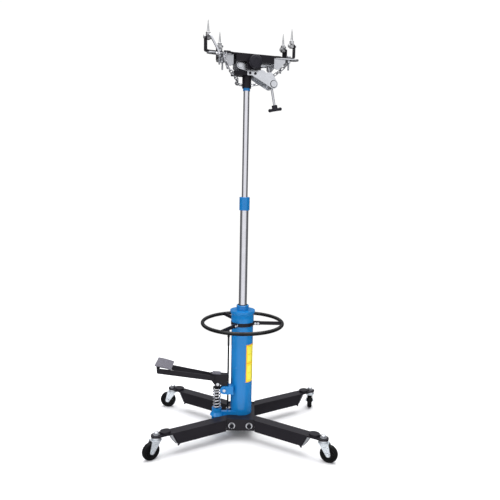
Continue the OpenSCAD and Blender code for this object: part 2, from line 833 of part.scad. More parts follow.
module saddle_outline() {
    difference() {
        union() {
            for (u = arm_pivot_u, s = [-1, 1]) translate([u, s * arm_pivot_v]) circle(r = lobe_r);
            translate([arm_pivot_u[0] + 8, -plate_v]) square([arm_pivot_u[1] - arm_pivot_u[0] - 16, 2 * plate_v]);
            translate([arm_pivot_u[1] - 20, -8]) square([88, 16]);
            translate([arm_pivot_u[0] - 16, -66]) square([12, 30]);
            translate([arm_pivot_u[0] - 30, -66]) square([20, 13.5]);
        }
        translate([arm_pivot_u[1] + 62, 0]) circle(r = 3);
        translate([arm_pivot_u[0] - 24, -60]) circle(r = 3);
    }
}

module saddle() {
    under = saddle_top - plate_t;
    color(black) in_head() difference() {
        union() {
            translate([0, 0, under]) linear_extrude(height = plate_t) saddle_outline();
            for (s = [-1, 1])
                box(beam_u0, beam_u1, s < 0 ? -plate_v : plate_v - flange_t, s < 0 ? flange_t - plate_v : plate_v,
                    saddle_top - beam_h, under + 1);
            box(beam_u0, beam_u0 + 4, 1 - plate_v, plate_v - 1, saddle_top - beam_h, under + 1);
            box(tab_u, tab_u + 4, -12, 12, tilt_z - 9, under + 1);
            box(knob_u - 30, knob_u + 30, -plate_v, flange_t - plate_v, 1590, under);
        }
        for (u = arm_pivot_u, s = [-1, 1]) translate([u, s * arm_pivot_v, saddle_top]) {
            translate([0, 0, -plate_t - 1]) cylinder(r = arm_bolt_r + fit, h = plate_t);
            translate([0, 0, -sink]) cylinder(r1 = arm_bolt_r + fit, r2 = arm_bolt_r + fit + sink + 1, h = sink + 1);
        }
        translate([beam_u0 - 1, 0, tilt_z]) rotate([0, 90, 0]) cylinder(r = tilt_pin_r + fit, h = 160);
        y_cylinder(knob_u, knob_z, screw_r + fit, -plate_v - 1, 0);
    }
}

// Countersunk bolts, flush with the saddle's face
module arm_bolts() {
    color(zinc) in_head() for (u = arm_pivot_u, s = [-1, 1]) translate([u, s * arm_pivot_v, 0]) {
        translate([0, 0, saddle_top - sink])
            cylinder(r1 = arm_bolt_r, r2 = arm_bolt_r + sink - 0.2, h = sink - 0.2);
        translate([0, 0, arm_top - arm_t - 7]) cylinder(r = arm_bolt_r, h = saddle_top - 2 - arm_top + arm_t + 7);
        translate([0, 0, arm_top - arm_t - gap - 7]) hex(15, 7);
    }
}

// Route of the chain in the head's frame, hung behind the socket
chain_route = [
    [-112, -60, 1646.8], [-113, -60, 1622], [-100, -58, 1592], [-74, -46, 1565], [-50, -24, 1549],
    [-44, 6, 1543], [-27, 38, 1542], [10, 50, 1542], [60, 50, 1549], [100, 49, 1565],
    [134, 42, 1588], [164, 22, 1614], [180, 3, 1632], [182, 0, 1645.8]
];
function blend(a, b, c, d, t) = 0.5 * (2 * b + (c - a) * t + (2 * a - 5 * b + 4 * c - d) * t * t
    + (3 * b - a - 3 * c + d) * t * t * t);
function smooth(p, n) = concat([for (i = [0:len(p) - 2], k = [0:n - 1])
    blend(p[max(i - 1, 0)], p[i], p[i + 1], p[min(i + 2, len(p) - 1)], k / n)], [p[len(p) - 1]]);

module chain() {
    color(zinc) in_head() sweep(smooth(chain_route, 4), 4, 8);
}

module tilt_knob() {
    color(black) in_head() {
        y_cylinder(knob_u, knob_z, screw_r, -plate_v - 26, -28.5);
        y_cylinder(knob_u, knob_z, 11, -plate_v - 12, -plate_v - gap);
        translate([knob_u, -plate_v - 12, knob_z]) rotate([90, 0, 0]) rotate_extrude() polygon([
            [0, 0], [knob_r - 2, 0], [knob_r, 3], [knob_r, 12], [knob_r - 3, 17], [14, 20], [0, 20.5]
        ]);
    }
}

// ---- arms and fingers -------------------------------------------------------------------------

module arm(c) {
    outer = c[0] * c[1];
    color(zinc) at_arm(c) {
        translate([0, 0, arm_top - arm_t]) linear_extrude(height = arm_t) difference() {
            bar2d([0, 0], [arm_l, 0], arm_w / 2, arm_w / 2 - 0.1);
            circle(r = arm_bolt_r + fit);
            bar2d([slot_from, 0], [slot_to, 0], slot_r, slot_r - 0.01);
        }
        upright(outer * 13 - 2, outer * 13 + 2) polygon([
            [-14, arm_top - 1], [-14, 1606], [-4, 1599], [8, 1600], [34, 1630], [34, arm_top - 1]
        ]);
    }
}

module finger(c) {
    i = index_of(c);
    bolt = bolt_at[i];
    wall = bolt + reach[i];
    foot_z = arm_top + gap;
    rim = foot_z + plate_t + finger_h;
    color(black) at_arm(c) {
        difference() {
            translate([bolt - 10, -15, foot_z]) cube([reach[i] + 15, 30, plate_t]);
            translate([bolt, 0, foot_z - 1]) cylinder(r = 4, h = 10);
        }
        translate([wall, -13, foot_z + plate_t - 1]) cube([5, 26, finger_h + 1]);
        translate([bolt, 0, foot_z + plate_t]) hex(15, 7);
        translate([bolt, 0, arm_top - arm_t - 40]) cylinder(r = 4, h = 40 + arm_t + 12);
        translate([bolt, 0, arm_top - arm_t - gap - 3]) cylinder(r = 10, h = 3);
        translate([bolt, 0, arm_top - arm_t - gap - 10]) hex(15, 7);
        // eye block, collar and cone on the upright
        translate([wall - 16, -9, rim - 10]) cube([17, 18, 24]);
        translate([wall - 8, 0, rim + 14]) cylinder(r = 9, h = 5);
        translate([wall - 8, 0, rim + 19]) cylinder(r1 = 5.5, r2 = 1.2, h = cone_h);
        translate([wall - 24, 0, rim]) rotate([0, 90, 0]) cylinder(r = 4, h = 34);
        translate([wall + 5, 0, rim]) rotate([0, 90, 0]) hex(13, 5);
    }
}

module hook_bar(c) {
    i = index_of(c);
    wall = bolt_at[i] + reach[i];
    from = [wall - 8, 24, arm_top + plate_t + finger_h + 6];
    to = [bolt_at[i] + 8, 27, arm_top - 8];
    d = to - from;
    color(zinc) at_arm(c) {
        translate(from) rotate([0, acos(d[2] / norm(d)), atan2(d[1], d[0])]) cylinder(r = 4.8, h = norm(d));
        y_cylinder(wall - 8, from[2], 4.2, 0, 26);
    }
}

module hooked_finger(c) {
    finger(c);
    hook_bar(c);
}

base_block();
legs();
web_plates();
frame_bolts();
caster_studs();
reservoir_tube();
pressure_tube();
cylinder_head();
gland_nut();
rod_wiper();
pump_body();
release_valve();
fulcrum_bracket();
fulcrum_pin();
label();
clamp_band();
ring_handle();
ring_spokes();
release_rod();
pedal_lever();
pedal_pad();
clevis_pin();
pump_plunger();
pump_spring();
ram1_tube();
ram1_piston();
ram1_collar();
ram2_rod();
ram2_piston();
stop_ring();
head_socket();
cheek_plates();
head_bolts();
trunnion_nut();
side_frame();
frame_pins();
swivel_block();
tilt_screw();
tilt_handle();
saddle();
arm_bolts();
chain();
tilt_knob();
arm(front_left);  // arm_front_left
arm(front_right);  // arm_front_right
arm(rear_left);  // arm_rear_left
arm(rear_right);  // arm_rear_right
hooked_finger(front_left);  // finger_front_left
finger(front_right);  // finger_front_right
finger(rear_left);  // finger_rear_left
finger(rear_right);  // finger_rear_right
fork(front_left);  // fork_front_left
fork(front_right);  // fork_front_right
fork(rear_left);  // fork_rear_left
fork(rear_right);  // fork_rear_right
wheel(front_left);  // wheel_front_left
wheel(front_right);  // wheel_front_right
wheel(rear_left);  // wheel_rear_left
wheel(rear_right);  // wheel_rear_right
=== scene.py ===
import json
import math

import bmesh
import bpy
from mathutils import Matrix, Vector


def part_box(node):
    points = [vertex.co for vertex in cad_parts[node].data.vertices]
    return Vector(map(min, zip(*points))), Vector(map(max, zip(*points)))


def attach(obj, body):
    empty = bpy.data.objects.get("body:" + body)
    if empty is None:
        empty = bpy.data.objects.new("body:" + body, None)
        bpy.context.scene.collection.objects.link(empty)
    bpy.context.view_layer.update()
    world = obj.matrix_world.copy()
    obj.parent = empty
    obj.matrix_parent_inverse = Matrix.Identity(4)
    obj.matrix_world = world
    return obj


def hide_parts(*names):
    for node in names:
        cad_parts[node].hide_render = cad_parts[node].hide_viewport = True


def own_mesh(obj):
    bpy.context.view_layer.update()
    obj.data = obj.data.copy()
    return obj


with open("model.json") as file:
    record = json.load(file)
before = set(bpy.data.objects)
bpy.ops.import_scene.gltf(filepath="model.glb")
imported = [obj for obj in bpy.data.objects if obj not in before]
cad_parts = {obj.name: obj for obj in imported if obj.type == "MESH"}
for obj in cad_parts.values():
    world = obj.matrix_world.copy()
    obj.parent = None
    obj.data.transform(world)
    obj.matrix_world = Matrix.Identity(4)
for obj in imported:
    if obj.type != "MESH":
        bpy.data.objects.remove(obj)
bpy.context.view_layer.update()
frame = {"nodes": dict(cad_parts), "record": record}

YAW = math.radians(19)
HEAD = Matrix.Rotation(YAW, 4, "Z")
CORNERS = ("front_left", "front_right", "rear_left", "rear_right")
PIVOT = {"front_left": (-88, -30), "front_right": (120, -30), "rear_left": (-88, 30), "rear_right": (120, 30)}
ARM_DIR = {"front_left": 186, "front_right": -6, "rear_left": 88, "rear_right": 19}
BOLT = {"front_left": 42, "front_right": 52, "rear_left": 42, "rear_right": 52}
REACH = {"front_left": 57, "front_right": 20, "rear_left": 57, "rear_right": 20}
ARM_TOP = 1646.5
NODES = frame["nodes"]


# ---- camera, light and floor -------------------------------------------------------------------

scene = bpy.context.scene
cam_data = bpy.data.cameras.new("camera")
cam_data.sensor_width = 36
cam_data.lens = 39.1
cam_data.clip_end = 50
cam = bpy.data.objects.new("camera", cam_data)
scene.collection.objects.link(cam)
cam.matrix_world = (
    Matrix.Translation((0.0182, -2.351, 1.164))
    @ Matrix.Rotation(-0.004, 4, "Z")
    @ Matrix.Rotation(math.pi / 2 - 0.1382, 4, "X")
    @ Matrix.Rotation(0.0196, 4, "Z")
)
scene.camera = cam
scene.view_settings.view_transform = "Standard"
scene.view_settings.look = "None"


def sun(name, place, power, angle):
    data = bpy.data.lights.new(name, "SUN")
    data.energy = power
    data.angle = math.radians(angle)
    lamp = bpy.data.objects.new(name, data)
    scene.collection.objects.link(lamp)
    lamp.rotation_euler = Vector(place).to_track_quat("Z", "Y").to_euler()


sun("sky_left", (-0.8, -0.9, 1.3), 0.8, 45)
sun("sky_right", (0.9, -0.5, 1.5), 0.25, 50)
sun("sky_top", (0.1, 0.3, 2.0), 2.2, 50)

# The camera sees a white room. Metal reflects a grey one, bright overhead and behind the camera's side.
world = bpy.data.worlds.new("studio")
scene.world = world
world.use_nodes = True
tree = world.node_tree
seen = tree.nodes["Background"]
seen.inputs["Color"].default_value = (1, 1, 1, 1)
seen.inputs["Strength"].default_value = 1.03
room = tree.nodes.new("ShaderNodeBackground")
room.inputs["Color"].default_value = (0.97, 0.97, 1.0, 1)
where = tree.nodes.new("ShaderNodeTexCoord")
split = tree.nodes.new("ShaderNodeSeparateXYZ")
tree.links.new(where.outputs["Generated"], split.inputs["Vector"])


def world_range(axis, a, b, low, high):
    n = tree.nodes.new("ShaderNodeMapRange")
    n.interpolation_type = "SMOOTHSTEP"
    tree.links.new(split.outputs[axis], n.inputs["Value"])
    for key, value in (("From Min", a), ("From Max", b), ("To Min", low), ("To Max", high)):
        n.inputs[key].default_value = value
    return n.outputs["Result"]


front = world_range("Y", -0.80, -0.30, 0.88, 0.13)
above = world_range("Z", 0.16, 0.60, 0.0, 0.95)
brighter = tree.nodes.new("ShaderNodeMath")
brighter.operation = "MAXIMUM"
tree.links.new(front, brighter.inputs[0])
tree.links.new(above, brighter.inputs[1])
tree.links.new(brighter.outputs["Value"], room.inputs["Strength"])
ray = tree.nodes.new("ShaderNodeLightPath")
backdrop = tree.nodes.new("ShaderNodeMixShader")
tree.links.new(ray.outputs["Is Camera Ray"], backdrop.inputs["Fac"])
tree.links.new(room.outputs["Background"], backdrop.inputs[1])
tree.links.new(seen.outputs["Background"], backdrop.inputs[2])
tree.links.new(backdrop.outputs["Shader"], tree.nodes["World Output"].inputs["Surface"])


# ---- materials ---------------------------------------------------------------------------------

# Sockets of a Mix node that is set to colour, which share their names with those of its other types
MIX_A, MIX_B, MIX_OUT = 6, 7, 2
BOLT_HEADS_Y = 0.0988   # the hex heads of the web bolts lie further out than this
BARE_RADIUS = 0.0066    # bright middle of a pin's head

class Mat:
    """A Principled material with helpers for layers of procedural detail."""

    def __init__(self, name, colour, rough, metal=0.0):
        self.mat = bpy.data.materials.new(name)
        self.mat.use_nodes = True
        self.tree = self.mat.node_tree
        self.bsdf = self.tree.nodes["Principled BSDF"]
        self.bsdf.inputs["Base Color"].default_value = (*colour, 1)
        self.bsdf.inputs["Roughness"].default_value = rough
        self.bsdf.inputs["Metallic"].default_value = metal
        self.coord = self.tree.nodes.new("ShaderNodeTexCoord")
        self.normal = None

    def node(self, kind, **values):
        n = self.tree.nodes.new(kind)
        for key, value in values.items():
            if key in n.inputs:
                n.inputs[key].default_value = value
            else:
                setattr(n, key, value)
        return n

    def link(self, a, b):
        self.tree.links.new(a, b)

    def mapped(self, scale=(1, 1, 1)):
        m = self.node("ShaderNodeMapping")
        m.inputs["Scale"].default_value = scale
        self.link(self.coord.outputs["Object"], m.inputs["Vector"])
        return m.outputs["Vector"]

    def noise(self, scale, detail=3.0, roughness=0.5, stretch=(1, 1, 1)):
        n = self.node("ShaderNodeTexNoise", Scale=scale, Detail=detail, Roughness=roughness)
        self.link(self.mapped(stretch), n.inputs["Vector"])
        return n.outputs["Fac"]

    def ramp(self, fac, stops):
        r = self.tree.nodes.new("ShaderNodeValToRGB")
        while len(r.color_ramp.elements) < len(stops):
            r.color_ramp.elements.new(0.5)
        for e, (pos, colour) in zip(r.color_ramp.elements, stops):
            e.position = pos
            e.color = (*colour, 1)
        self.link(fac, r.inputs["Fac"])
        return r.outputs["Color"]

    def range(self, fac, low, high, a=0.3, b=0.7):
        m = self.node("ShaderNodeMapRange")
        m.inputs["From Min"].default_value = a
        m.inputs["From Max"].default_value = b
        m.inputs["To Min"].default_value = low
        m.inputs["To Max"].default_value = high
        self.link(fac, m.inputs["Value"])
        return m.outputs["Result"]

    def bump(self, fac, strength, distance):
        b = self.node("ShaderNodeBump", Strength=strength, Distance=distance)
        self.link(fac, b.inputs["Height"])
        if self.normal is not None:
            self.link(self.normal, b.inputs["Normal"])
        self.normal = b.outputs["Normal"]
        self.link(self.normal, self.bsdf.inputs["Normal"])

    def to(self, out, socket):
        self.link(out, self.bsdf.inputs[socket])


def shade(colour, k):
    return tuple(min(1.0, c * k) for c in colour)


def paint(name, colour, rough, coat, shine, uneven=0.15, peel=0.10):
    m = Mat(name, colour, rough)
    broad = m.noise(9.0, 4.0, 0.6)
    stops = [(0.3, shade(colour, 1 - uneven)), (0.55, colour), (0.75, shade(colour, 1 + uneven))]
    m.to(m.ramp(broad, stops), "Base Color")
    m.to(m.range(m.noise(30.0, 5.0, 0.7), rough - 0.05, rough + 0.07), "Roughness")
    m.bump(m.noise(700.0, 2.0, 0.5), peel, 0.0006)
    m.bsdf.inputs["Coat Weight"].default_value = coat
    m.bsdf.inputs["Coat Roughness"].default_value = 0.07
    m.bsdf.inputs["Specular IOR Level"].default_value = shine
    return m.mat


def plated(name, colour, rough, stretch=(1, 1, 1), streak=260.0, mottled=0.9, relief=0.08, crease=0.0,
           metal=1.0):
    """Plated metal; painted shade darkens its corners and creases as far out as crease, in metres."""
    m = Mat(name, colour, rough, metal)
    cloud = m.noise(38.0, 4.0, 0.6)
    tint = m.ramp(cloud, [(0.3, shade(colour, mottled)), (0.7, shade(colour, 1.05))])
    if crease:
        # Painted shade: ambient occlusion blends the colour towards near black in corners, creases and
        # between parts.
        near = m.node("ShaderNodeAmbientOcclusion", Distance=crease, samples=8)
        painted_crease_shade = m.range(near.outputs["AO"], 0.85, 0.0, 0.35, 0.85)
        mix = m.node("ShaderNodeMix", data_type="RGBA")
        m.link(painted_crease_shade, mix.inputs["Factor"])
        m.link(tint, mix.inputs[MIX_A])
        mix.inputs[MIX_B].default_value = (0.03, 0.03, 0.035, 1)
        tint = mix.outputs[MIX_OUT]
    m.to(tint, "Base Color")
    m.to(m.range(m.noise(streak, 3.0, 0.6, stretch), rough - 0.04, rough + 0.08), "Roughness")
    m.bump(m.noise(streak * 1.7, 2.0, 0.5, stretch), relief, 0.0004)
    return m.mat


black = paint("black_satin_paint", (0.0140, 0.0125, 0.0165), 0.34, 0.0, 0.2)
black_tube = paint("black_gloss_paint", (0.005, 0.005, 0.0055), 0.16, 0.2, 0.2)
blue = paint("blue_gloss_paint", (0.006, 0.205, 0.55), 0.22, 0.7, 0.2, 0.05, 0.02)
# Each crease value sets how far the painted shade in corners and creases reaches.
zinc = plated("zinc_plate", (0.84, 0.86, 0.89), 0.30, crease=0.010)
zinc_bright = plated("zinc_bright", (0.78, 0.79, 0.82), 0.24, crease=0.005)
galvanised = plated("galvanised", (0.56, 0.565, 0.57), 0.42, crease=0.006)
arm_zinc = plated("arm_zinc", (0.70, 0.715, 0.74), 0.34, crease=0.008)
fork_zinc = plated("fork_zinc", (0.80, 0.85, 0.89), 0.28, crease=0.006, metal=0.6)
dark_steel = paint("blackened_steel", (0.010, 0.010, 0.012), 0.35, 0.0, 0.3)
chrome = plated("hard_chrome", (0.86, 0.86, 0.90), 0.13, (1, 1, 0.2), 30.0, 0.97, 0.001)
steel = plated("turned_steel", (0.58, 0.58, 0.60), 0.26, (1, 1, 30), 60.0, 0.92, crease=0.006)


def rubbery(name, colour, rough, grain):
    m = Mat(name, colour, rough)
    m.bsdf.inputs["Specular IOR Level"].default_value = 0.15
    stops = [(0.3, shade(colour, 0.8)), (0.7, shade(colour, 1.35))]
    m.to(m.ramp(m.noise(22.0, 4.0, 0.6), stops), "Base Color")
    m.to(m.range(m.noise(120.0, 4.0, 0.6), rough - 0.08, rough + 0.08), "Roughness")
    m.bump(m.noise(grain, 3.0, 0.6), 0.25, 0.0005)
    return m.mat


wheel_black = rubbery("wheel_nylon", (0.0035, 0.0035, 0.004), 0.36, 900.0)
knob_black = rubbery("moulded_knob", (0.024, 0.023, 0.030), 0.38, 1400.0)
seal = rubbery("seal_rubber", (0.014, 0.014, 0.014), 0.6, 800.0)


def tread():
    """Grit-coated plate; its grey colour is partly painted light, standing for light on the top of a darker
    plate.
    """
    m = Mat("grit_pad_painted_light", (0.15, 0.145, 0.17), 0.7)
    grit = m.noise(520.0, 2.0, 0.7)
    # The grey stops are partly painted light: light on the top of a plate that is darker.
    stops = [(0.36, (0.06, 0.057, 0.07)), (0.52, (0.125, 0.12, 0.143)), (0.66, (0.22, 0.21, 0.245))]
    m.to(m.ramp(grit, stops), "Base Color")
    m.to(m.range(m.noise(60.0, 3.0, 0.6), 0.6, 0.82), "Roughness")
    m.bump(grit, 0.6, 0.0012)
    return m.mat


pad_grey = tread()


def sticker():
    """Yellow sticker with an orange edge, an orange divider, blank panels and dark bars."""
    low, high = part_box("label")
    z0, z1 = low.z, high.z
    m = Mat("yellow_sticker", (0.94, 0.75, 0.06), 0.5)
    m.bsdf.inputs["Specular IOR Level"].default_value = 0.2
    sep = m.node("ShaderNodeSeparateXYZ")
    m.link(m.coord.outputs["Object"], sep.inputs["Vector"])
    turn = m.node("ShaderNodeMath", operation="ARCTAN2")
    m.link(sep.outputs["Y"], turn.inputs[0])
    m.link(sep.outputs["X"], turn.inputs[1])

    def between(value, a, b):
        """1 inside the range a to b, 0 outside."""
        c = m.node("ShaderNodeMath", operation="COMPARE")
        m.link(value, c.inputs[0])
        c.inputs[1].default_value = (a + b) / 2
        c.inputs[2].default_value = (b - a) / 2
        return c.outputs["Value"]

    def both(a, b, operation="MULTIPLY"):
        n = m.node("ShaderNodeMath", operation=operation)
        m.link(a, n.inputs[0])
        m.link(b, n.inputs[1])
        return n.outputs["Value"]

    def paint_over(base, mask, colour):
        mix = m.node("ShaderNodeMix", data_type="RGBA")
        m.link(mask, mix.inputs["Factor"])
        m.link(base, mix.inputs[MIX_A])
        mix.inputs[MIX_B].default_value = (*colour, 1)
        return mix.outputs[MIX_OUT]

    angle, z = turn.outputs["Value"], sep.outputs["Z"]
    a0, a1 = math.radians(-66), math.radians(26)
    h = z1 - z0
    base = m.ramp(m.noise(40.0, 3.0), [(0.3, (0.93, 0.74, 0.03)), (0.7, (0.98, 0.85, 0.05))])
    inner = both(between(angle, a0 + 0.05, a1 - 0.05), between(z, z0 + 0.003, z1 - 0.003))
    frame_mask = m.node("ShaderNodeMath", operation="SUBTRACT")
    frame_mask.inputs[0].default_value = 1.0
    m.link(inner, frame_mask.inputs[1])
    out = paint_over(base, frame_mask.outputs["Value"], (0.90, 0.36, 0.03))
    out = paint_over(out, both(inner, between(z, z0 + 0.50 * h, z0 + 0.515 * h)), (0.90, 0.36, 0.03))
    for a, b in ((0.07, 0.24), (0.27, 0.44), (0.56, 0.73), (0.76, 0.93)):
        panel = both(between(angle, a0 + 0.16, a0 + 0.62), between(z, z0 + a * h, z0 + b * h))
        out = paint_over(out, panel, (0.99, 0.93, 0.10))
    for k in range(22):
        if k in (10, 11):
            continue
        zc = z0 + (0.06 + 0.04 * k) * h
        bar = both(between(angle, a0 + 0.70, a0 + 1.44 - 0.12 * (k % 3)), between(z, zc, zc + 0.012 * h))
        out = paint_over(out, bar, (0.20, 0.17, 0.08))
    m.to(out, "Base Color")
    m.to(m.range(m.noise(80.0, 3.0), 0.36, 0.5), "Roughness")
    m.bump(m.noise(300.0, 2.0), 0.05, 0.0003)
    return m.mat


yellow = sticker()


def web_bolt():
    """Zinc washers and small bolts, with blackened hex heads outside the web plates."""
    m = Mat("bolt_set", (0.80, 0.81, 0.84), 0.26, 1.0)
    sep = m.node("ShaderNodeSeparateXYZ")
    m.link(m.coord.outputs["Object"], sep.inputs["Vector"])
    away = m.node("ShaderNodeMath", operation="ABSOLUTE")
    m.link(sep.outputs["Y"], away.inputs[0])
    head = m.node("ShaderNodeMath", operation="GREATER_THAN")
    m.link(away.outputs["Value"], head.inputs[0])
    head.inputs[1].default_value = BOLT_HEADS_Y
    mix = m.node("ShaderNodeMix", data_type="RGBA")
    m.link(head.outputs["Value"], mix.inputs["Factor"])
    stops = [(0.3, (0.72, 0.73, 0.76)), (0.7, (0.84, 0.85, 0.88))]
    m.link(m.ramp(m.noise(60.0, 3.0), stops), mix.inputs[MIX_A])
    mix.inputs[MIX_B].default_value = (0.022, 0.022, 0.026, 1)
    m.to(mix.outputs[MIX_OUT], "Base Color")
    m.to(m.range(m.noise(240.0, 3.0), 0.22, 0.34), "Roughness")
    m.bump(m.noise(400.0, 2.0), 0.06, 0.0004)
    return m.mat


bolt_set = web_bolt()


def pin_face(node, rim):
    """Zinc pin with paint on the rim of its head."""
    low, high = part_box(node)
    m = Mat(node + "_finish", (0.84, 0.86, 0.89), 0.28)
    centre = m.node("ShaderNodeCombineXYZ")
    centre.inputs["X"].default_value = (low.x + high.x) / 2
    centre.inputs["Z"].default_value = (low.z + high.z) / 2
    across = m.node("ShaderNodeVectorMath", operation="MULTIPLY")
    m.link(m.coord.outputs["Object"], across.inputs[0])
    across.inputs[1].default_value = (1, 0, 1)
    reach = m.node("ShaderNodeVectorMath", operation="DISTANCE")
    m.link(across.outputs["Vector"], reach.inputs[0])
    m.link(centre.outputs["Vector"], reach.inputs[1])
    bare = m.node("ShaderNodeMath", operation="LESS_THAN")
    m.link(reach.outputs["Value"], bare.inputs[0])
    bare.inputs[1].default_value = BARE_RADIUS
    m.to(bare.outputs["Value"], "Metallic")
    mix = m.node("ShaderNodeMix", data_type="RGBA")
    m.link(bare.outputs["Value"], mix.inputs["Factor"])
    mix.inputs[MIX_A].default_value = (*rim, 1)
    stops = [(0.3, (0.78, 0.79, 0.82)), (0.7, (0.88, 0.89, 0.92))]
    m.link(m.ramp(m.noise(60.0, 3.0), stops), mix.inputs[MIX_B])
    m.to(mix.outputs[MIX_OUT], "Base Color")
    m.to(m.range(m.noise(240.0, 3.0), 0.24, 0.36), "Roughness")
    m.bump(m.noise(400.0, 2.0), 0.05, 0.0004)
    return m.mat

SLOT_MATERIAL = {
    "black_paint": black, "blue_paint": blue, "zinc": zinc, "chrome": chrome, "steel": steel,
    "wheel_plastic": wheel_black, "black_plastic": knob_black, "seal_rubber": seal, "pad_grey": pad_grey,
    "label_yellow": yellow,
}
OVERRIDE = {
    "ring_handle": black_tube, "release_rod": black_tube, "tilt_screw": zinc_bright, "arm_bolts": zinc_bright,
    "clevis_pin": pin_face("clevis_pin", (0.014, 0.0125, 0.0165)), "frame_bolts": bolt_set,
    "fulcrum_pin": pin_face("fulcrum_pin", (0.006, 0.205, 0.55)), "pump_plunger": dark_steel,
}
slots = {s["node"]: s["material_slot"] for s in frame["record"]["subparts"]}
BEVEL = {
    "base_block": 1.2, "legs": 1.6, "web_plates": 0.8, "pump_body": 1.0, "fulcrum_bracket": 0.6,
    "pedal_lever": 0.6, "clamp_band": 0.5, "ring_spokes": 0.5, "head_socket": 0.8, "cheek_plates": 0.5,
    "side_frame": 0.5, "saddle": 0.6, "frame_bolts": 0.4, "caster_studs": 0.4, "arm_bolts": 0.4,
    "tilt_knob": 0.5, "tilt_handle": 0.5,
}
for corner in CORNERS:
    OVERRIDE["arm_" + corner] = arm_zinc
    OVERRIDE["fork_" + corner] = fork_zinc
    BEVEL["arm_" + corner] = 0.5
    BEVEL["fork_" + corner] = 0.4
    BEVEL["wheel_" + corner] = 0.5
for name, obj in NODES.items():
    mat = OVERRIDE.get(name, SLOT_MATERIAL[slots[name]])
    if not obj.material_slots:
        obj.data.materials.append(mat)
    for s in obj.material_slots:
        s.material = mat
    if name in BEVEL:
        mod = obj.modifiers.new("edges", "BEVEL")
        mod.width = BEVEL[name] / 1000
        mod.segments = 2
        mod.limit_method = "ANGLE"
        mod.angle_limit = math.radians(38)
        mod.harden_normals = True


# ---- piece building ----------------------------------------------------------------------------

def piece(name, mesh, mat, body, smooth=True, bevel=0.0):
    obj = bpy.data.objects.new(name, mesh)
    scene.collection.objects.link(obj)
    mesh.materials.append(mat)
    if smooth:
        for p in mesh.polygons:
            p.use_smooth = True
    if bevel:
        mod = obj.modifiers.new("edges", "BEVEL")
        mod.width = bevel / 1000
        mod.segments = 3
        mod.limit_method = "ANGLE"
        mod.angle_limit = math.radians(35)
        mod.harden_normals = True
    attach(obj, body)
    return obj


def mesh_of(bm, name):
    bmesh.ops.recalc_face_normals(bm, faces=bm.faces)
    mesh = bpy.data.meshes.new(name)
    bm.to_mesh(mesh)
    bm.free()
    return mesh


def lathe(bm, profile, sides=48, matrix=Matrix()):
    """Turns a profile of (radius, height) in mm about local Z."""
    rings = []
    for r, z in profile:
        if r < 1e-6:
            rings.append([bm.verts.new(matrix @ Vector((0, 0, z / 1000)))])
        else:
            rings.append([
                bm.verts.new(matrix @ Vector((r / 1000 * math.cos(2 * math.pi * k / sides),
                                              r / 1000 * math.sin(2 * math.pi * k / sides), z / 1000)))
                for k in range(sides)])
    for a, b in zip(rings, rings[1:]):
        for k in range(sides):
            j = (k + 1) % sides
            quad = [a[k % len(a)], a[j % len(a)], b[j % len(b)], b[k % len(b)]]
            corners = [v for i, v in enumerate(quad) if v not in quad[:i]]
            if len(corners) > 2:
                bm.faces.new(corners)
    for ring, flip in ((rings[0], True), (rings[-1], False)):
        if len(ring) > 1:
            bm.faces.new(list(reversed(ring)) if flip else ring)


def prism(bm, outline, z0, z1, matrix=Matrix()):
    """A solid with that outline in mm, between two heights."""
    low = [bm.verts.new(matrix @ Vector((x / 1000, y / 1000, z0 / 1000))) for x, y in outline]
    high = [bm.verts.new(matrix @ Vector((x / 1000, y / 1000, z1 / 1000))) for x, y in outline]
    bm.faces.new(list(reversed(low)))
    bm.faces.new(high)
    n = len(outline)
    for k in range(n):
        bm.faces.new([low[k], low[(k + 1) % n], high[(k + 1) % n], high[k]])


def ribbon(bm, path, half_width, thickness, matrix=Matrix()):
    """A bent strip: path is a list of (x, z) in mm along its middle, in local X and Z."""
    rows = []
    for i, p in enumerate(path):
        a = Vector(path[max(i - 1, 0)])
        b = Vector(path[min(i + 1, len(path) - 1)])
        t = (b - a).normalized()
        n = Vector((-t.y, t.x)) * thickness / 2
        ring = []
        for sy, sn in ((-1, -1), (1, -1), (1, 1), (-1, 1)):
            q = Vector(p) + sn * n
            ring.append(bm.verts.new(matrix @ Vector((q.x / 1000, sy * half_width / 1000, q.y / 1000))))
        rows.append(ring)
    for a, b in zip(rows, rows[1:]):
        for k in range(4):
            bm.faces.new([a[k], a[(k + 1) % 4], b[(k + 1) % 4], b[k]])
    bm.faces.new(list(reversed(rows[0])))
    bm.faces.new(rows[-1])


def rod(bm, points, radius, sides=12, closed=False):
    """A round bar in metres along points; radius in mm."""
    n = len(points)
    rings = []
    up = None
    for i, p in enumerate(points):
        if closed:
            t = (points[(i + 1) % n] - points[i - 1]).normalized()
        else:
            t = (points[min(i + 1, n - 1)] - points[max(i - 1, 0)]).normalized()
        if up is None:
            up = t.orthogonal().normalized()
        up = (up - t * up.dot(t)).normalized()
        side = t.cross(up)
        rings.append([bm.verts.new(p + radius / 1000 * (math.cos(2 * math.pi * k / sides) * up
                                                        + math.sin(2 * math.pi * k / sides) * side))
                      for k in range(sides)])
    pairs = list(zip(rings, rings[1:]))
    for a, b in pairs:
        for k in range(sides):
            j = (k + 1) % sides
            bm.faces.new([a[k], a[j], b[j], b[k]])
    if closed:
        a, b = rings[-1], rings[0]
        best = min(range(sides), key=lambda s: (a[0].co - b[s].co).length)
        for k in range(sides):
            j = (k + 1) % sides
            bm.faces.new([a[k], a[j], b[(j + best) % sides], b[(k + best) % sides]])
    else:
        bm.faces.new(list(reversed(rings[0])))
        bm.faces.new(rings[-1])


def hexagon(across):
    r = across / math.sqrt(3)
    return [(r * math.cos(math.radians(60 * k)), r * math.sin(math.radians(60 * k))) for k in range(6)]


